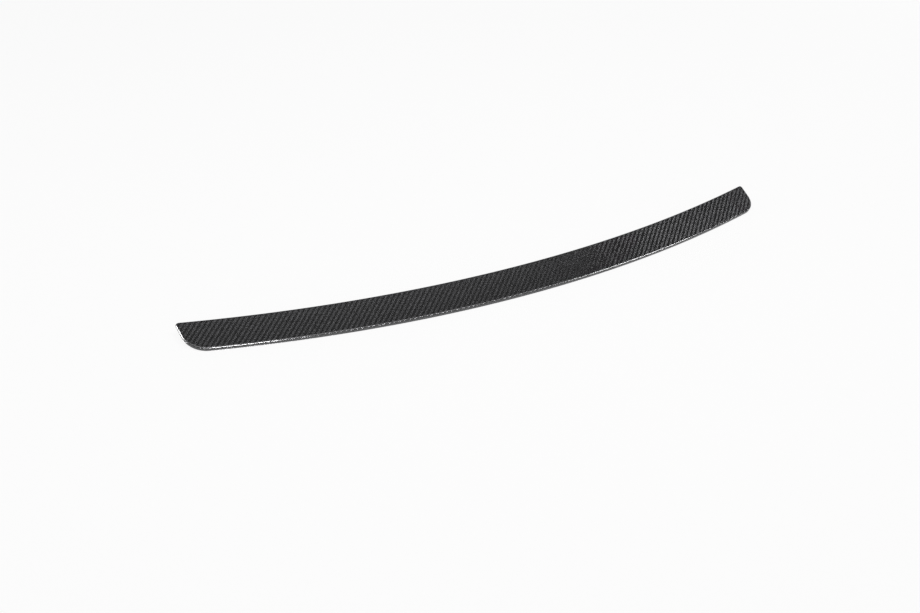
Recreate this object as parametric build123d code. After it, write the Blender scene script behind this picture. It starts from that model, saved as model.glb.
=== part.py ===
from build123d import *
import math
import os

# Boot-lid lip spoiler: one moulded carbon-fibre laminate, bowed in plan to follow the
# rear edge of a boot lid and crowned to follow its top. The laminate is thin at the
# front, rises to the rear and turns down there and round both ends into a lip. The
# underside is open. Millimetres, +X across the car, +Y to the car's front, +Z up.

# Plan
SPAN = 1000.0               # across the car, between the two front corners
BOW = 60.0                  # the front edge's middle lies this far behind its corners
CROWN = 20.0                # the middle stands this far above the front corners
CHORD_MIDDLE = 53.7         # front edge to rear edge on the centre line
CHORD_END = 49.9            # front edge to rear edge, square to the bow, at the ends
END_SWEEP_LENGTH = 16.7     # each rear corner lies this far inboard along the bow
FRONT_CORNER_RADIUS = 4.3
REAR_CORNER_RADIUS = 37.5

# Section
WALL = 2.4                  # laminate thickness, and the lip's thickness
BEAD_STEP = 0.6             # the front bead stands this far below the laminate
BEAD_WIDTH = 6.0            # flat land under the front edge
LIP_HEIGHT = 6.2            # top of the rear lip above the base, on the centre line
TOP_HOLLOW = 0.5            # the top dips this far below a straight front-to-rear line
EDGE_RADIUS = 2.4           # rounding of the moulded edge, all the way round
INNER_RADIUS = 0.8          # rounding inside the lip

FRONT_HEIGHT = WALL + BEAD_STEP
MARGIN = 20.0               # how far cutting shapes reach past the blade

# The bow and the crown together are one circle in a plane that leans by LEAN. A section
# turned about that circle's axis sweeps to the front and down towards both ends.
LEAN = math.atan2(CROWN, BOW)
RING_SAG = math.hypot(BOW, CROWN)
RING_RADIUS = ((SPAN / 2) ** 2 + RING_SAG ** 2) / (2 * RING_SAG)
RING_AXIS = Axis(
    origin=(0, RING_RADIUS * math.cos(LEAN), -RING_RADIUS * math.sin(LEAN)),
    direction=(0, math.sin(LEAN), math.cos(LEAN)),
)
RING_ANGLE = math.asin(SPAN / 2 / RING_RADIUS)

# Rear corners in plan, before they are rounded
PLAN_RADIUS = ((SPAN / 2) ** 2 + BOW ** 2) / (2 * BOW)
REAR_ANGLE = math.asin(SPAN / 2 / PLAN_RADIUS) - END_SWEEP_LENGTH / PLAN_RADIUS
REAR_X = (PLAN_RADIUS + CHORD_END) * math.sin(REAR_ANGLE)
REAR_Y = PLAN_RADIUS - (PLAN_RADIUS + CHORD_END) * math.cos(REAR_ANGLE)


def top_height(back, drop=0.0):
    """Height of the top at a distance behind the front edge, in the middle section."""
    run = back / CHORD_MIDDLE
    straight = FRONT_HEIGHT + (LIP_HEIGHT - FRONT_HEIGHT) * run
    return straight - 4 * TOP_HOLLOW * run * (1 - run) - drop


def plan_outline():
    """Face of the blade seen from above, with the middle of the front edge at the origin."""
    front_x = SPAN / 2
    edges = Curve() + [
        ThreePointArc((-front_x, BOW), (0, 0), (front_x, BOW)),
        Line((front_x, BOW), (REAR_X, REAR_Y)),
        ThreePointArc((REAR_X, REAR_Y), (0, -CHORD_MIDDLE), (-REAR_X, REAR_Y)),
        Line((-REAR_X, REAR_Y), (-front_x, BOW)),
    ]
    face = make_face(edges)
    face = fillet(face.vertices().sort_by(Axis.Y)[:2], REAR_CORNER_RADIUS)
    return fillet(face.vertices().sort_by(Axis.Y)[-2:], FRONT_CORNER_RADIUS)


def swept_section(front, bottom, drop):
    """Solid between a level base line and the top line, swept round the leaning ring.

    It begins a distance `front` behind the front edge and reaches past the rear edge.
    `drop` lowers the top line, which gives the underside of the laminate.
    """
    rear = CHORD_MIDDLE + MARGIN
    middle = (front + rear) / 2
    top = ThreePointArc(
        (-front, top_height(front, drop)),
        (-middle, top_height(middle, drop)),
        (-rear, top_height(rear, drop)),
    )
    sides = Polyline(
        (-rear, top_height(rear, drop)),
        (-rear, bottom),
        (-front, bottom),
        (-front, top_height(front, drop)),
    )
    section = Plane.YZ * make_face(Curve() + [top, sides])
    reach = math.degrees(RING_ANGLE) + 3
    section = section.rotate(RING_AXIS, -reach)
    return revolve(section, axis=RING_AXIS, revolution_arc=2 * reach)


def tall(face):
    """The plan face drawn out up and down, past the top and the base."""
    height = CROWN + LIP_HEIGHT + MARGIN
    return extrude(Pos(0, 0, -height) * face, amount=2 * height)


def moulded_outside(outline):
    """The blade's outside as a full solid, with its top edge rounded all the way round."""
    body = tall(outline) & swept_section(-MARGIN, 0, 0)
    top = body.faces().sort_by(Axis.Z)[-1]
    radius = min(EDGE_RADIUS, 0.9 * FRONT_HEIGHT, 0.9 * FRONT_CORNER_RADIUS)
    return fillet(top.edges(), radius)


def open_underside(outline):
    """The hollow under the laminate, behind the front bead and inside the lip."""
    inside = offset(outline, amount=-WALL)
    hollow = tall(inside) & swept_section(BEAD_WIDTH, -MARGIN, WALL)
    roof = hollow.faces().sort_by(Axis.Z)[-1]
    lip_edges = roof.edges().filter_by(GeomType.CIRCLE, reverse=True)
    return fillet(lip_edges, INNER_RADIUS)


def lay_down(body):
    """Lays the blade on its rear lip, with the origin under the middle of its box.

    Bow and crown lift the front, and the lip's lower edge is nearly flat. The blade rests
    once it is tipped back until that edge's middle and corners are level.
    """
    turn = RING_ANGLE - END_SWEEP_LENGTH / RING_RADIUS
    corner_drop = (RING_RADIUS + CHORD_END) * (1 - math.cos(turn)) * math.sin(LEAN)
    tip = math.atan2(corner_drop, REAR_Y + CHORD_MIDDLE)
    body = body.rotate(Axis.X, math.degrees(tip))
    box = body.bounding_box()
    return Pos(-box.center().X, -box.center().Y, -box.min.Z) * body


def spoiler_blade():
    """The whole lip spoiler, one solid."""
    outline = plan_outline()
    return lay_down(moulded_outside(outline) - open_underside(outline))


os.makedirs("parts", exist_ok=True)
export_step(spoiler_blade(), "parts/spoiler_blade.step")
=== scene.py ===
"""Boot-lid lip spoiler: one carbon-cloth laminate under clear lacquer, on a white studio floor."""

import math
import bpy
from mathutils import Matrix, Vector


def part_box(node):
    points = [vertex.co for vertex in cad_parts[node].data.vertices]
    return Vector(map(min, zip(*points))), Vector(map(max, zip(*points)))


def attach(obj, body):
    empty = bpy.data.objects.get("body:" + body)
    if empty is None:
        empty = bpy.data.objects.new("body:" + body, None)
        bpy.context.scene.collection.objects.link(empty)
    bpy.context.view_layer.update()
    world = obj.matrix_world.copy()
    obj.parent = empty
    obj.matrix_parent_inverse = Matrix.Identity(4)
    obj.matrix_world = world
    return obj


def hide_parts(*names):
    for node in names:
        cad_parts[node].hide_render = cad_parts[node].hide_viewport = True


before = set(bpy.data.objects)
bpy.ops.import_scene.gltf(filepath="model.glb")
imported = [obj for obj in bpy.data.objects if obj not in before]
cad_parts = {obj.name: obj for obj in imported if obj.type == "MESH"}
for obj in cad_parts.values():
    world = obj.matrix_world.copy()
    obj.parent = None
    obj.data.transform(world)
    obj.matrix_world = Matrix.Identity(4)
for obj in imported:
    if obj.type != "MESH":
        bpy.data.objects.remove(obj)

from types import SimpleNamespace

import bpy
import numpy as np
from bpy.props import FloatProperty, FloatVectorProperty, PointerProperty
from bpy.types import Operator, Panel, PropertyGroup
from mathutils import Matrix, Vector

bl_info = {
    "name": "Boot-lid lip spoiler",
    "version": (1, 0, 0),
    "blender": (4, 5, 0),
    "location": "3D View > Sidebar > Spoiler",
    "description": "Builds a lacquered carbon-cloth lip spoiler and the white stage it lies on",
    "category": "Object",
}

NODE = "spoiler_blade"
CLOTH_UV = "cloth"

# Mesh steps
STATIONS = 120          # along each half of the front and rear edges
FRONT_CORNER_STEPS = 8
END_STEPS = 12
REAR_CORNER_STEPS = 20
ROUNDING_STEPS = 10
ARRIS_STEPS = 3
FIELD_SHARES = (0.0, 0.012, 0.1, 0.25, 0.45, 0.65, 0.85)   # from a face's edge to its spine
WALL_SHARES = (0.5, 1.0)   # from the rounded edge down to the arris
HEIGHT_PASSES = 8       # corrections that put a point on the curved surface

# Weave, in tows
REPEAT = 4.0            # tows after which the twill repeats
LAST_WARP_STEP = 1.5    # steps 0 and 1 of a repeat have the warp on top
GRAIN_ACROSS = 14.0     # noise cells to a tow's width
GRAIN_ALONG = 0.35      # noise cells to the same length along the fibres
GRAIN_DETAIL = 2.0
GAP_POWER = 6.0         # keeps the dark gap close to the edge of a tow
GAP_SHADE = 0.25        # how much darker the gap is

# Lacquer and resin
LACQUER_ROUGHNESS = 0.04
LACQUER_IOR = 1.5
FIBRE_EDGE_TINT = (0.3, 0.3, 0.3, 1)   # what the fibres keep of their gloss at a grazing angle
FACE_RELIEF = 1.0
FACE_STREAKS = 0.5
BACK_RELIEF = 0.4       # the resin on the back drowns most of the weave
BACK_STREAKS = 0.35
BACK_ROUGHNESS = 0.55

# Studio
FLOOR_HALF = 8.0        # metres from the middle to a side
FLOOR_DROP = 0.0001     # keeps the floor clear of the lip that lies on it
PAPER_SCALE = 6.0
PAPER_DARKEST = 0.99
PAPER_SPREAD = 0.02
PAPER_ROUGHNESS = 0.9
PAPER_GLOW = 0.9        # share of plain white where the floor is seen
SENSOR = 36.0           # millimetres

# Name, place, point faced, width, depth, turn in degrees, brightness, and whether the lamp fills.
# A lamp that doesn't fill shows in gloss only, as a white line on the rounded edge.
LAMPS = (
    ("overhead_bank", (-0.09, -0.12, 1.68), (-0.07, 0.0, 0.0), 2.5, 0.88, 0.0, 2.85, True),
    ("back_right_lamp", (2.05, 0.89, 0.80), (0.0, 0.0, 0.0), 0.88, 0.19, -70.0, 8.2, True),
    ("front_left_softbox", (-0.69, -1.68, 1.34), (-0.43, -0.01, 0.0), 0.50, 0.42, 0.0, 80.0, False),
    ("left_softbox", (-2.14, 0.88, 0.38), (-0.49, 0.02, 0.0), 0.75, 0.36, 0.0, 60.0, False),
    ("front_right_softbox", (1.57, -0.99, 1.25), (0.21, -0.04, 0.0), 0.85, 0.35, -18.0, 40.0, False),
)


def length(name, description, default, precision=4):
    """A size in metres that a user can change."""
    return FloatProperty(
        name=name, description=description, default=default, min=0.0,
        precision=precision, subtype="DISTANCE", unit="LENGTH",
    )


def share(name, description, default, largest=1.0):
    """A plain number from nought up."""
    return FloatProperty(name=name, description=description, default=default, min=0.0, max=largest)


def colour(name, description, default):
    """A linear colour."""
    return FloatVectorProperty(
        name=name, description=description, default=default, min=0.0, max=1.0,
        size=3, subtype="COLOR",
    )


def angle(name, description, degrees):
    """A turn, written in degrees here and kept in radians."""
    return FloatProperty(
        name=name, description=description, default=math.radians(degrees), subtype="ANGLE",
        unit="ROTATION",
    )


class BladeForm(PropertyGroup):
    """Sizes of the moulded laminate."""

    span: length("Span", "Across the car, between the two front corners", 1.0)
    bow: length("Bow", "How far the front edge's middle lies behind its corners", 0.060)
    crown: length("Crown", "How far the middle stands above the front corners", 0.020)
    chord_middle: length("Middle chord", "Front edge to rear edge on the centre line", 0.0537)
    chord_end: length("End chord", "Front edge to rear edge at the ends", 0.0499)
    end_sweep: length("End sweep", "How far each rear corner lies inboard", 0.0167)
    front_corner: length("Front corner", "Radius of the front corners in plan", 0.0043)
    rear_corner: length("Rear corner", "Radius of the rear corners in plan", 0.0375)
    wall: length("Wall", "Thickness of the laminate and of the lip", 0.0024)
    bead_step: length("Bead step", "How far the front bead stands below the laminate", 0.0006)
    bead_width: length("Bead width", "Flat land under the front edge", 0.006)
    lip_height: length("Lip height", "Top of the rear lip above the base", 0.0062)
    top_hollow: length("Top hollow", "Dip of the top below a straight line", 0.0005)
    edge_radius: length("Edge radius", "Rounding of the moulded edge", 0.0024)
    inner_radius: length("Inner radius", "Rounding inside the lip", 0.0006)
    arris: length("Arris", "Broken edge of the trimmed lip", 0.00025, precision=5)


class BladeFinish(PropertyGroup):
    """Cloth and lacquer."""

    tow_width: length("Tow width", "Width of one tow of the twill", 0.0022, precision=5)
    # Both tows are one dark fibre; the weft is set lighter than the warp as painted sheen, in place of
    # the fibres' sheen under light.
    warp: colour("Warp", "Tows that run along the spoiler", (0.055, 0.055, 0.057))
    weft: colour("Weft", "Tows that run across the spoiler", (0.077, 0.077, 0.079))
    tow_crown: share("Tow crown", "Slope at the edge of a rounded tow", 0.008)
    strands: share("Strands", "Strands side by side in a tow", 7.0, largest=40.0)
    strand_crown: share("Strand crown", "Slope at the edge of a rounded strand", 0.289)
    fibre_roughness: share("Fibre roughness", "Spread of the light on the fibres", 0.188)
    lacquer: share("Lacquer", "Weight of the clear lacquer", 1.0)


class StageLook(PropertyGroup):
    """Floor, lamps and camera."""

    floor: colour("Floor", "Colour of the studio floor", (0.95, 0.95, 0.95))
    wall_light: share("Wall light", "Brightness of the white wall all round", 0.8, largest=4.0)
    ceiling_light: share("Ceiling light", "Brightness of the ceiling", 0.15, largest=4.0)
    wall_top: share("Wall top", "Sine of the elevation where the wall starts to darken", 0.2)
    ceiling_start: share("Ceiling start", "Sine of the elevation where the ceiling starts", 0.6)
    lens: FloatProperty(name="Lens", description="Focal length in millimetres", default=45.571, min=1.0)
    distance: length("Distance", "From the camera to the point it looks at", 1.6920)
    azimuth: angle("Azimuth", "Turn of the camera about the spoiler", -31.31)
    elevation: angle("Elevation", "Height of the camera above the floor", 37.166)
    roll: angle("Roll", "Lean of the camera", 5.35)
    aim: FloatVectorProperty(
        name="Aim", description="Point that the camera looks at", default=(-0.1114, -0.0532, 0.0100),
        size=3, subtype="TRANSLATION", unit="LENGTH",
    )


# Geometry of the blade, in its mould's frame: the middle of the front edge is the origin,
# +Y points to the front of the car and +Z is the way the part is drawn from the mould.

def worked_out(form):
    """Sizes that follow from the form's own.

    Bow and crown together are one circle in a plane that leans. The plan's front and rear edges
    are circles through three points each. The tip lays the rear lip's lower edge on the floor.
    """
    half = form.span / 2
    sag = math.hypot(form.bow, form.crown)
    lean = math.atan2(form.crown, form.bow)
    ring = (half ** 2 + sag ** 2) / (2 * sag)
    front = (half ** 2 + form.bow ** 2) / (2 * form.bow)
    rear_angle = math.asin(half / front) - form.end_sweep / front
    rear_x = (front + form.chord_end) * math.sin(rear_angle)
    rear_y = front - (front + form.chord_end) * math.cos(rear_angle)
    rise = rear_y + form.chord_middle
    rear = (rear_x ** 2 + rise ** 2) / (2 * rise)
    turn = math.asin(half / ring) - form.end_sweep / ring
    corner_drop = (ring + form.chord_end) * (1 - math.cos(turn)) * math.sin(lean)
    return SimpleNamespace(
        lean=lean, ring=ring, front=front, rear=rear,
        front_corner=np.array((half, form.bow)), rear_corner=np.array((rear_x, rear_y)),
        tip=math.atan2(corner_drop, rise),
    )


def arc(centre, radius, start, end, steps):
    """Points on a circle from one angle to another, the last left out, and their directions."""
    turn = np.linspace(start, end, steps, endpoint=False)
    out = np.stack((np.cos(turn), np.sin(turn)), axis=1)
    return centre + radius * out, out


def on_circle(start, along, centre, radius, nearest):
    """Where a line meets a circle, at the crossing nearest to a given distance along it."""
    to = start - centre
    half_sum = -to @ along
    spread = math.sqrt(half_sum ** 2 - to @ to + radius ** 2)
    distance = min(half_sum - spread, half_sum + spread, key=lambda d: abs(d - nearest))
    return start + distance * along


def heading(direction):
    """Angle of a plan direction."""
    return math.atan2(direction[1], direction[0])


def plan_loop(form, shape, front_inset, side_inset, front_round, rear_round):
    """Closed outline of the blade from above, moved in from its edges, with its outward normals.

    It runs from the middle of the front edge round the right end to the middle of the rear
    edge: an arc, a small rounding, the end's line, a large rounding and an arc. Each rounding's
    centre lies where the end's line, moved in by its radius, meets a circle about the arc's
    centre. The left half mirrors the right.
    """
    front_centre = np.array((0.0, shape.front))
    rear_centre = np.array((0.0, shape.rear - form.chord_middle))
    front_radius = shape.front + front_inset
    rear_radius = shape.rear - side_inset
    end = shape.rear_corner - shape.front_corner
    end_length = float(np.hypot(*end))
    along = end / end_length
    inward = np.array((along[1], -along[0]))
    front_start = shape.front_corner + (side_inset + front_round) * inward
    small = on_circle(front_start, along, front_centre, front_radius + front_round, 0.0)
    rear_start = shape.front_corner + (side_inset + rear_round) * inward
    large = on_circle(rear_start, along, rear_centre, rear_radius - rear_round, end_length)

    front_turn = heading(small - front_centre)
    rear_turn = heading(large - rear_centre)
    outward = heading(-inward)
    middle = -math.pi / 2
    front_points, front_out = arc(front_centre, front_radius, middle, front_turn, STATIONS)
    small_points, small_out = arc(small, front_round, front_turn + math.pi, outward, FRONT_CORNER_STEPS)
    line_start = small - front_round * inward
    line_end = large - rear_round * inward
    line = np.linspace(line_start, line_end, END_STEPS, endpoint=False)
    line_out = np.broadcast_to(-inward, line.shape)
    large_points, large_out = arc(large, rear_round, outward, rear_turn, REAR_CORNER_STEPS)
    rear_points, rear_out = arc(rear_centre, rear_radius, rear_turn, middle, STATIONS)
    last = rear_centre + rear_radius * np.array((0.0, -1.0))
    half = np.concatenate((front_points, small_points, line, large_points, rear_points, [last]))
    out = np.concatenate((-front_out, small_out, line_out, large_out, rear_out, [(0.0, -1.0)]))
    flip = np.array((-1.0, 1.0))
    return (
        np.concatenate((half, half[-2:0:-1] * flip)),
        np.concatenate((out, out[-2:0:-1] * flip)),
    )


def even_inset(form, shape, inset):
    """The outline moved in by the same amount all the way round."""
    return plan_loop(
        form, shape, inset, inset, form.front_corner - inset, form.rear_corner - inset,
    )


def spine_of(loop):
    """Middle line of an outline, and the number of the spine point that each outline point faces.

    A spine point lies halfway between a front point and the rear point at the same station, and
    all points of an end face the spine's last point.
    """
    half = len(loop) // 2
    front = loop[:STATIONS + 1]
    rear = loop[half - STATIONS:half + 1][::-1]
    right = (front + rear) / 2
    spine = np.concatenate((right[:0:-1] * np.array((-1.0, 1.0)), right))
    place = np.arange(len(loop))
    mirrored = place > half
    place = np.where(mirrored, len(loop) - place, place)
    station = np.minimum(np.minimum(place, half - place), STATIONS)
    return spine, STATIONS + np.where(mirrored, -station, station)


def top_height(form, back):
    """Height of the top over the base: a straight rise from front to rear, less a shallow parabola."""
    run = back / form.chord_middle
    low = form.wall + form.bead_step
    return low + (form.lip_height - low) * run - 4 * form.top_hollow * run * (1 - run)


def raised(form, shape, plan, height):
    """Z of plan points that lie a given height over the base, which sweeps round the leaning ring.

    Turned about the ring's axis to the centre line, a point has a distance behind the front edge
    and a height over the base. Z starts at nought and takes up what that height lacks, in passes.
    """
    lean_sin = math.sin(shape.lean)
    lean_cos = math.cos(shape.lean)
    x = plan[:, 0]
    y = plan[:, 1] - shape.ring * lean_cos
    z = np.zeros(len(plan))
    for _ in range(HEIGHT_PASSES):
        lift = z + shape.ring * lean_sin
        up = y * lean_sin + lift * lean_cos
        over = np.sqrt(x ** 2 + (y * lean_cos - lift * lean_sin) ** 2) - shape.ring
        back = over * lean_cos - up * lean_sin
        z = z + height(back) - (over * lean_sin + up * lean_cos)
    return z


def blade_rings(form, shape):
    """Rings of points from the top's spine over the edge and under the lip to the roof's spine.

    Every ring is an outline with a height. Fields between an edge and its spine keep to the
    curved face, roundings follow a quarter circle, and walls join them. The cloth's own place on
    the top is its plan, and past the top's edge it runs outward by the length of the arc.
    """
    def top(plan):
        return raised(form, shape, plan, lambda back: top_height(form, back))

    def roof(plan):
        return raised(form, shape, plan, lambda back: top_height(form, back) - form.wall)

    def base(plan):
        return raised(form, shape, plan, np.zeros_like)

    def inner(extra):
        """Outline of the hollow, behind the front bead and inside the lip, moved in by some more."""
        return plan_loop(
            form, shape, form.bead_width + extra, form.wall + extra,
            2 * form.inner_radius - extra, form.rear_corner - form.wall - extra,
        )[0]

    outside = []
    radius = form.edge_radius
    edge, edge_out = even_inset(form, shape, radius)
    spine, facing = spine_of(edge)
    for part in FIELD_SHARES[::-1]:
        plan = edge + part * (spine[facing] - edge)
        outside.append((plan, top(plan), plan))
    for turn in np.linspace(0, math.pi / 2, ROUNDING_STEPS + 1)[1:]:
        plan = even_inset(form, shape, radius * (1 - math.sin(turn)))[0]
        outside.append((plan, top(plan) - radius * (1 - math.cos(turn)), edge + radius * turn * edge_out))
    rim = even_inset(form, shape, 0.0)[0]
    upper = top(rim) - radius
    lower = base(rim)
    run = radius * math.pi / 2
    for part in WALL_SHARES:
        z = upper + part * (lower + form.arris - upper)
        outside.append((rim, z, edge + (run + upper - z)[:, None] * edge_out))

    under = []
    for turn in np.linspace(0, math.pi / 2, ARRIS_STEPS + 1):
        plan = even_inset(form, shape, form.arris * (1 - math.cos(turn)))[0]
        under.append((plan, base(plan) + form.arris * (1 - math.sin(turn))))
    for turn in np.linspace(math.pi / 2, 0, ARRIS_STEPS + 1):
        plan = inner(-form.arris * (1 - math.cos(turn)))
        under.append((plan, base(plan) + form.arris * (1 - math.sin(turn))))
    for turn in np.linspace(0, math.pi / 2, ARRIS_STEPS + 1):
        plan = inner(form.inner_radius * (1 - math.cos(turn)))
        under.append((plan, roof(plan) - form.inner_radius * (1 - math.sin(turn))))
    inside = inner(form.inner_radius)
    roof_spine = spine_of(inside)[0]
    for part in FIELD_SHARES[1:]:
        plan = inside + part * (roof_spine[facing] - inside)
        under.append((plan, roof(plan)))
    return SimpleNamespace(
        outside=outside, under=under, facing=facing,
        top_spine=(spine, top(spine)), roof_spine=(roof_spine, roof(roof_spine)),
    )


def laid_down(points, tip, box):
    """Points tipped back about X onto the rear lip and set into the CAD solid's own box."""
    x, y, z = points.T
    tipped = np.stack(
        (x, y * math.cos(tip) - z * math.sin(tip), y * math.sin(tip) + z * math.cos(tip)), axis=1,
    )
    low, high = np.array(box[0]), np.array(box[1])
    shift = (low + high) / 2 - (tipped.min(axis=0) + tipped.max(axis=0)) / 2
    shift[2] = low[2] - tipped[:, 2].min()
    return tipped + shift


def strips(count, first, second):
    """Quads between neighbouring rings, whose first vertices have these numbers."""
    here = np.arange(count)
    there = (here + 1) % count
    return np.stack((first + here, first + there, second + there, second + here), axis=1)


def cap(ring, spine, facing, upward):
    """Faces that close a ring onto its spine: quads along it, and a fan at each end."""
    here = np.arange(len(facing))
    there = np.roll(here, -1)
    fan = facing == facing[there]
    quads = np.stack((spine + facing, spine + facing[there], ring + there, ring + here), axis=1)[~fan]
    fans = np.stack((spine + facing, ring + there, ring + here), axis=1)[fan]
    return (quads, fans) if upward else (quads[:, ::-1], fans[:, ::-1])


def blade_mesh(form):
    """Closed mesh of the laminate, with the cloth's place in a UV map and two materials."""
    shape = worked_out(form)
    rings = blade_rings(form, shape)
    count = len(rings.facing)
    stack = [(plan, z) for plan, z, _ in rings.outside] + rings.under
    parts = [rings.top_spine, *stack, rings.roof_spine]
    points = np.concatenate([np.column_stack((plan, z)) for plan, z in parts])
    points = laid_down(points, shape.tip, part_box(NODE))
    spine_count = len(rings.top_spine[0])
    starts = spine_count + count * np.arange(len(stack))
    border = len(rings.outside)

    outer_cloth = np.concatenate([rings.top_spine[0]] + [cloth for _, _, cloth in rings.outside])
    plan_cloth = np.concatenate([plan for plan, _ in parts])
    outer_quads = [strips(count, a, b) for a, b in zip(starts[:border - 1], starts[1:border])]
    joining = strips(count, starts[border - 1], starts[border])
    under_quads = [strips(count, a, b) for a, b in zip(starts[border:-1], starts[border + 1:])]
    top_quads, top_fans = cap(starts[0], 0, rings.facing, True)
    roof_quads, roof_fans = cap(starts[-1], starts[-1] + count, rings.facing, False)

    outer = [top_quads, top_fans, *outer_quads]
    inner = [joining, *under_quads, roof_quads, roof_fans]
    faces = [face for group in outer + inner for face in group.tolist()]
    cloth = np.concatenate(
        [outer_cloth[group].reshape(-1, 2) for group in outer]
        + [plan_cloth[group].reshape(-1, 2) for group in inner]
    )
    slots = np.zeros(len(faces), dtype=np.int32)
    slots[sum(len(group) for group in outer):] = 1

    mesh = bpy.data.meshes.new("lacquered_blade")
    mesh.from_pydata(points.tolist(), [], faces)
    mesh.uv_layers.new(name=CLOTH_UV).uv.foreach_set("vector", cloth.astype(np.float32).ravel())
    mesh.polygons.foreach_set("material_index", slots)
    mesh.shade_smooth()
    mesh.update()
    return mesh


# Materials

def socket(group, name, kind, default=None, output=False):
    """A named socket on a node group."""
    made = group.interface.new_socket(
        name=name, in_out="OUTPUT" if output else "INPUT", socket_type=f"NodeSocket{kind}",
    )
    if default is not None:
        made.default_value = default
    return made


class Sums:
    """Places math nodes in a tree, each linked to its inputs, and gives their outputs."""

    def __init__(self, tree):
        self.tree = tree

    def node(self, kind, **settings):
        """A new node with these settings."""
        made = self.tree.nodes.new(f"ShaderNode{kind}")
        for key, value in settings.items():
            setattr(made, key, value)
        return made

    def feed(self, target, value):
        """Links an output to an input, or sets the input to a plain value."""
        if isinstance(value, bpy.types.NodeSocket):
            self.tree.links.new(value, target)
        else:
            target.default_value = value

    def math(self, operation, *values):
        """One operation on plain numbers."""
        made = self.node("Math", operation=operation)
        for target, value in zip(made.inputs, values):
            self.feed(target, value)
        return made.outputs[0]

    def vector(self, operation, first, second=None, scale=None):
        """One operation on vectors, or a vector times a number."""
        made = self.node("VectorMath", operation=operation)
        self.feed(made.inputs[0], first)
        if second is not None:
            self.feed(made.inputs[1], second)
        if scale is not None:
            self.feed(made.inputs["Scale"], scale)
        return made.outputs[0]

    def pick(self, factor, first, second, kind="FLOAT"):
        """Blends from the first value to the second as the factor goes from 0 to 1."""
        made = self.node("Mix", data_type=kind)
        # A Mix node keeps a pair of inputs and an output for each kind of value.
        start, end, blend = {"FLOAT": (2, 3, 0), "VECTOR": (4, 5, 1), "RGBA": (6, 7, 2)}[kind]
        self.feed(made.inputs[0], factor)
        self.feed(made.inputs[start], first)
        self.feed(made.inputs[end], second)
        return made.outputs[blend]


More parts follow.
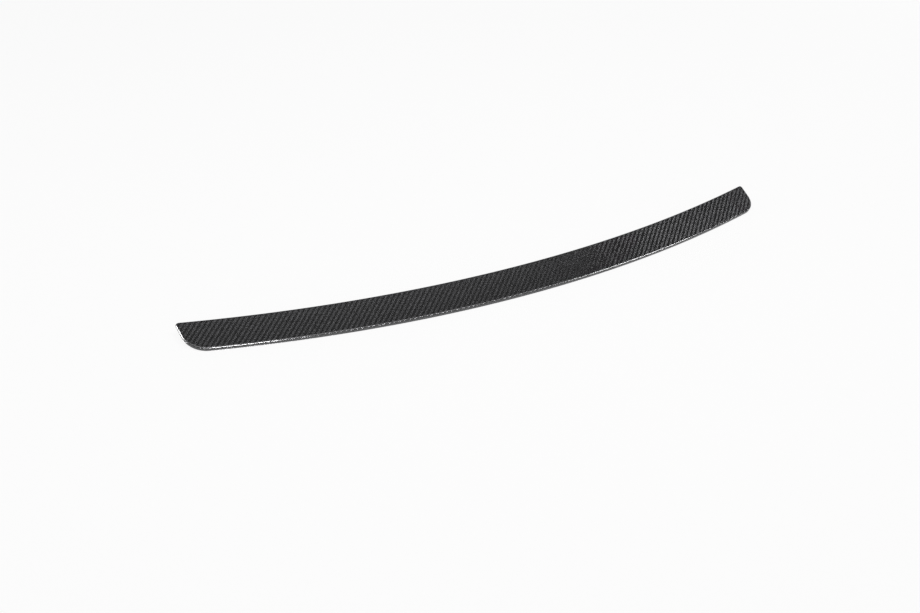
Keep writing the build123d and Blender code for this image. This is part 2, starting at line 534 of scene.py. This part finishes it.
def twill_group():
    """Two-by-two twill cloth, as a colour and a normal.

    The cloth is cut into squares one tow wide. A warp tow lies on top where the column less the
    row, modulo four, is under two, so that ribs run up to the right. A tow is a sheaf of rounded
    strands on a low pillow: its normal leans across the tow by the place on the strand and, much
    less, by the place on the tow, and along it by the place on the float. Fine noise, drawn out
    along the fibres, streaks the colour, and it darkens between two tows. Warp and weft are one
    dark fibre, and the weft's lighter colour is painted sheen standing in for the fibres' own sheen.
    """
    group = bpy.data.node_groups.new("Twill cloth", "ShaderNodeTree")
    socket(group, "Cloth", "Vector")
    socket(group, "Normal", "Vector")
    socket(group, "Along", "Vector")
    socket(group, "Tow Width", "Float", 0.002)
    socket(group, "Tow Crown", "Float", 0.1)
    socket(group, "Strands", "Float", 8.0)
    socket(group, "Strand Crown", "Float", 0.4)
    # A Weft colour lighter than the Warp colour is painted sheen.
    socket(group, "Warp", "Color", (0.03, 0.03, 0.03, 1))
    socket(group, "Weft", "Color", (0.03, 0.03, 0.03, 1))
    socket(group, "Streaks", "Float", 0.3)
    socket(group, "Colour", "Color", output=True)
    socket(group, "Normal", "Vector", output=True)
    sums = Sums(group)
    given = group.nodes.new("NodeGroupInput").outputs
    result = group.nodes.new("NodeGroupOutput").inputs

    squares = sums.vector("SCALE", given["Cloth"], scale=sums.math("DIVIDE", 1.0, given["Tow Width"]))
    apart = sums.node("SeparateXYZ")
    sums.feed(apart.inputs[0], squares)
    column = sums.math("FLOOR", apart.outputs[0])
    row = sums.math("FLOOR", apart.outputs[1])
    in_column = sums.math("SUBTRACT", apart.outputs[0], column)
    in_row = sums.math("SUBTRACT", apart.outputs[1], row)
    step = sums.math("FLOORED_MODULO", sums.math("SUBTRACT", column, row), REPEAT)
    back_step = sums.math("FLOORED_MODULO", sums.math("SUBTRACT", row, column), REPEAT)
    warp_up = sums.math("LESS_THAN", step, LAST_WARP_STEP)

    def centred(place):
        """A place from 0 to 1 as one from -1 to 1."""
        return sums.math("MULTIPLY_ADD", place, 2.0, -1.0)

    def across_strands(place):
        """Lean across a tow: a saw from -1 to 1 on each strand, and one slope over the whole tow."""
        saw = sums.math("FRACT", sums.math("MULTIPLY", place, given["Strands"]))
        fine = sums.math("MULTIPLY", centred(saw), given["Strand Crown"])
        coarse = sums.math("MULTIPLY", centred(place), given["Tow Crown"])
        return sums.math("ADD", fine, coarse)

    def along_float(first_step, place, middle):
        """Lean along a float of two squares: one slope that is nought in the middle."""
        from_middle = sums.math("SUBTRACT", sums.math("ADD", first_step, place), middle)
        return sums.math("MULTIPLY", from_middle, given["Tow Crown"])

    lean_u = sums.pick(warp_up, across_strands(in_column), along_float(step, in_column, 1.0))
    lean_v = sums.pick(warp_up, along_float(back_step, in_row, 2.0), across_strands(in_row))
    side = sums.vector("CROSS_PRODUCT", given["Normal"], given["Along"])
    tilt = sums.vector(
        "ADD", sums.vector("SCALE", given["Along"], scale=lean_u),
        sums.vector("SCALE", side, scale=lean_v),
    )
    sums.feed(result["Normal"], sums.vector("NORMALIZE", sums.vector("ADD", given["Normal"], tilt)))

    grain = sums.node("TexNoise", noise_dimensions="2D")
    weft_grain = (GRAIN_ACROSS, GRAIN_ALONG, 0.0)
    warp_grain = (GRAIN_ALONG, GRAIN_ACROSS, 0.0)
    stretch = sums.pick(warp_up, weft_grain, warp_grain, kind="VECTOR")
    sums.feed(grain.inputs["Vector"], sums.vector("MULTIPLY", squares, stretch))
    grain.inputs["Scale"].default_value = 1.0
    grain.inputs["Detail"].default_value = GRAIN_DETAIL
    streak = sums.math("MULTIPLY", sums.math("SUBTRACT", grain.outputs[0], 0.5), given["Streaks"])
    across = sums.math("ABSOLUTE", sums.pick(warp_up, centred(in_column), centred(in_row)))
    gap = sums.math("POWER", across, GAP_POWER)
    shade = sums.math("ADD", sums.math("MULTIPLY_ADD", gap, -GAP_SHADE, 1.0), streak)
    # The weft's lighter colour on its floats is painted sheen; the dark tone under it is the fibre's own.
    cloth = sums.pick(warp_up, given["Weft"], given["Warp"], kind="RGBA")
    sums.feed(result["Colour"], sums.vector("SCALE", cloth, scale=shade))
    return group


def new_material(name):
    """A node material that holds only a Principled shader, with its sums and that shader."""
    material = bpy.data.materials.new(name)
    material.use_nodes = True
    tree = material.node_tree
    tree.nodes.clear()
    sums = Sums(tree)
    shader = sums.node("BsdfPrincipled")
    output = sums.node("OutputMaterial")
    tree.links.new(shader.outputs[0], output.inputs[0])
    return material, sums, shader


def place_twill(sums, group, finish, relief, streaks):
    """Places the twill group on a piece's cloth map, with a share of its relief, for its outputs."""
    cloth = sums.node("UVMap", uv_map=CLOTH_UV)
    along = sums.node("Tangent", direction_type="UV_MAP", uv_map=CLOTH_UV)
    surface = sums.node("NewGeometry")
    twill = sums.node("Group", node_tree=group)
    sums.feed(twill.inputs["Cloth"], cloth.outputs[0])
    sums.feed(twill.inputs["Along"], along.outputs[0])
    sums.feed(twill.inputs["Normal"], surface.outputs["Normal"])
    twill.inputs["Tow Width"].default_value = finish.tow_width
    twill.inputs["Tow Crown"].default_value = relief * finish.tow_crown
    twill.inputs["Strands"].default_value = finish.strands
    twill.inputs["Strand Crown"].default_value = relief * finish.strand_crown
    # The weft lighter than the warp is painted sheen, on the lacquered face and the back alike.
    twill.inputs["Warp"].default_value = (*finish.warp, 1)
    twill.inputs["Weft"].default_value = (*finish.weft, 1)
    twill.inputs["Streaks"].default_value = streaks
    return twill.outputs


def lacquered_cloth(group, finish):
    """Twill seen through clear lacquer: fibres that shine like dark metal, under a smooth coat."""
    material, sums, shader = new_material("lacquered_cloth")
    twill = place_twill(sums, group, finish, FACE_RELIEF, FACE_STREAKS)
    sums.feed(shader.inputs["Base Color"], twill["Colour"])
    sums.feed(shader.inputs["Normal"], twill["Normal"])
    shader.inputs["Metallic"].default_value = 1.0
    shader.inputs["Roughness"].default_value = finish.fibre_roughness
    shader.inputs["Coat Weight"].default_value = finish.lacquer
    shader.inputs["Coat Roughness"].default_value = LACQUER_ROUGHNESS
    shader.inputs["Coat IOR"].default_value = LACQUER_IOR
    shader.inputs["Specular Tint"].default_value = FIBRE_EDGE_TINT
    return material


def bare_back(group, finish):
    """The laminate's bag side: the same twill, drowned in matt resin."""
    material, sums, shader = new_material("bare_back")
    twill = place_twill(sums, group, finish, BACK_RELIEF, BACK_STREAKS)
    sums.feed(shader.inputs["Base Color"], twill["Colour"])
    sums.feed(shader.inputs["Normal"], twill["Normal"])
    shader.inputs["Roughness"].default_value = BACK_ROUGHNESS
    return material


class SPOILER_OT_blade(Operator):
    """Build the moulded blade in lacquered cloth, in place of its plain solid"""

    bl_idname = "spoiler.make_blade"
    bl_label = "Make the blade"

    def execute(self, context):
        form = context.scene.blade_form
        finish = context.scene.blade_finish
        mesh = blade_mesh(form)
        group = twill_group()
        mesh.materials.append(lacquered_cloth(group, finish))
        mesh.materials.append(bare_back(group, finish))
        blade = bpy.data.objects.new("lacquered_blade", mesh)
        context.scene.collection.objects.link(blade)
        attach(blade, "root")
        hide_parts(NODE)
        return {"FINISHED"}


# Stage

def seen(sums):
    """One for rays that show the stage itself: from the camera, in gloss and through glass."""
    path = sums.node("LightPath").outputs
    gloss = sums.math("MAXIMUM", path["Is Glossy Ray"], path["Is Transmission Ray"])
    return sums.math("MAXIMUM", path["Is Camera Ray"], gloss)


def studio_world(look):
    """A white sweep of wall all round, which fades in a smooth step of height to a dim ceiling."""
    world = bpy.data.worlds.new("studio")
    world.use_nodes = True
    tree = world.node_tree
    tree.nodes.clear()
    sums = Sums(tree)
    apart = sums.node("SeparateXYZ")
    sums.feed(apart.inputs[0], sums.node("TexCoord").outputs["Generated"])
    rise = sums.node("MapRange", interpolation_type="SMOOTHSTEP")
    sums.feed(rise.inputs["Value"], apart.outputs["Z"])
    rise.inputs["From Min"].default_value = look.wall_top
    rise.inputs["From Max"].default_value = look.ceiling_start
    rise.inputs["To Min"].default_value = look.wall_light
    rise.inputs["To Max"].default_value = look.ceiling_light
    light = sums.node("Background")
    light.inputs["Color"].default_value = (1, 1, 1, 1)
    sums.feed(light.inputs["Strength"], rise.outputs[0])
    tree.links.new(light.outputs[0], sums.node("OutputWorld").inputs[0])
    return world


def floor_material(look):
    """Matt white paper: mostly plain white where it is seen, and a share that takes the shadow."""
    material, sums, shader = new_material("studio_paper")
    tree = material.node_tree
    noise = sums.node("TexNoise")
    noise.inputs["Scale"].default_value = PAPER_SCALE
    sums.feed(noise.inputs["Vector"], sums.node("TexCoord").outputs["Object"])
    tint = sums.math("MULTIPLY_ADD", noise.outputs[0], PAPER_SPREAD, PAPER_DARKEST)
    sums.feed(shader.inputs["Base Color"], sums.vector("SCALE", tuple(look.floor), scale=tint))
    shader.inputs["Roughness"].default_value = PAPER_ROUGHNESS
    glow = sums.node("Emission")
    mix = sums.node("MixShader")
    sums.feed(mix.inputs[0], sums.math("MULTIPLY", seen(sums), PAPER_GLOW))
    tree.links.new(shader.outputs[0], mix.inputs[1])
    tree.links.new(glow.outputs[0], mix.inputs[2])
    output = next(node for node in tree.nodes if node.bl_idname == "ShaderNodeOutputMaterial")
    tree.links.new(mix.outputs[0], output.inputs[0])
    return material


def softbox(name, place, aim, wide, deep, turn, brightness, fills):
    """A flat area lamp that faces a point, turned about its own axis.

    Its power is pi times its brightness times its area. One that doesn't fill lights no matt surface.
    """
    lamp = bpy.data.lights.new(name, "AREA")
    lamp.shape = "RECTANGLE"
    lamp.size = wide
    lamp.size_y = deep
    lamp.energy = brightness * math.pi * wide * deep
    stand = bpy.data.objects.new(name, lamp)
    facing = (Vector(place) - Vector(aim)).to_track_quat("Z", "Y").to_matrix()
    turned = facing @ Matrix.Rotation(math.radians(turn), 3, "Z")
    stand.matrix_world = Matrix.LocRotScale(Vector(place), turned, None)
    stand.visible_camera = False
    stand.visible_diffuse = fills
    bpy.context.scene.collection.objects.link(stand)


def place_camera(scene, look):
    """Camera at an azimuth, elevation and distance from its aim, leaning by its roll."""
    data = bpy.data.cameras.new("camera")
    data.sensor_width = SENSOR
    data.lens = look.lens
    camera = bpy.data.objects.new("camera", data)
    level = math.cos(look.elevation)
    back = Vector((
        math.sin(look.azimuth) * level, -math.cos(look.azimuth) * level, math.sin(look.elevation),
    ))
    turn = back.to_track_quat("Z", "Y").to_matrix() @ Matrix.Rotation(look.roll, 3, "Z")
    camera.matrix_world = Matrix.LocRotScale(Vector(look.aim) + look.distance * back, turn, None)
    scene.collection.objects.link(camera)
    scene.camera = camera


class SPOILER_OT_stage(Operator):
    """Build the white floor, the studio light and the camera"""

    bl_idname = "spoiler.make_stage"
    bl_label = "Make the stage"

    def execute(self, context):
        scene = context.scene
        look = scene.stage_look
        scene.view_settings.view_transform = "Standard"
        scene.world = studio_world(look)
        sides = ((-FLOOR_HALF, -FLOOR_HALF), (FLOOR_HALF, -FLOOR_HALF),
                 (FLOOR_HALF, FLOOR_HALF), (-FLOOR_HALF, FLOOR_HALF))
        mesh = bpy.data.meshes.new("studio_floor")
        mesh.from_pydata([(x, y, -FLOOR_DROP) for x, y in sides], [], [(0, 1, 2, 3)])
        mesh.materials.append(floor_material(look))
        floor = bpy.data.objects.new("studio_floor", mesh)
        scene.collection.objects.link(floor)
        for lamp in LAMPS:
            softbox(*lamp)
        place_camera(scene, look)
        return {"FINISHED"}


class SPOILER_PT_panel(Panel):
    """Lists the spoiler's steps and sizes"""

    bl_label = "Lip spoiler"
    bl_space_type = "VIEW_3D"
    bl_region_type = "UI"
    bl_category = "Spoiler"

    def draw(self, context):
        for operator, group in (
            (SPOILER_OT_blade.bl_idname, context.scene.blade_form),
            (None, context.scene.blade_finish),
            (SPOILER_OT_stage.bl_idname, context.scene.stage_look),
        ):
            box = self.layout.box()
            if operator:
                box.operator(operator)
            for name in group.__annotations__:
                box.prop(group, name)


CLASSES = (BladeForm, BladeFinish, StageLook, SPOILER_OT_blade, SPOILER_OT_stage, SPOILER_PT_panel)


def register():
    """Registers the classes and hangs their settings on the scene."""
    for cls in CLASSES:
        bpy.utils.register_class(cls)
    bpy.types.Scene.blade_form = PointerProperty(type=BladeForm)
    bpy.types.Scene.blade_finish = PointerProperty(type=BladeFinish)
    bpy.types.Scene.stage_look = PointerProperty(type=StageLook)


def unregister():
    """Takes the settings and classes away again."""
    del bpy.types.Scene.blade_form
    del bpy.types.Scene.blade_finish
    del bpy.types.Scene.stage_look
    for cls in reversed(CLASSES):
        bpy.utils.unregister_class(cls)


def main():
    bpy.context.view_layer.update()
    register()
    bpy.ops.spoiler.make_blade()
    bpy.ops.spoiler.make_stage()


if __name__ == "__main__":
    main()
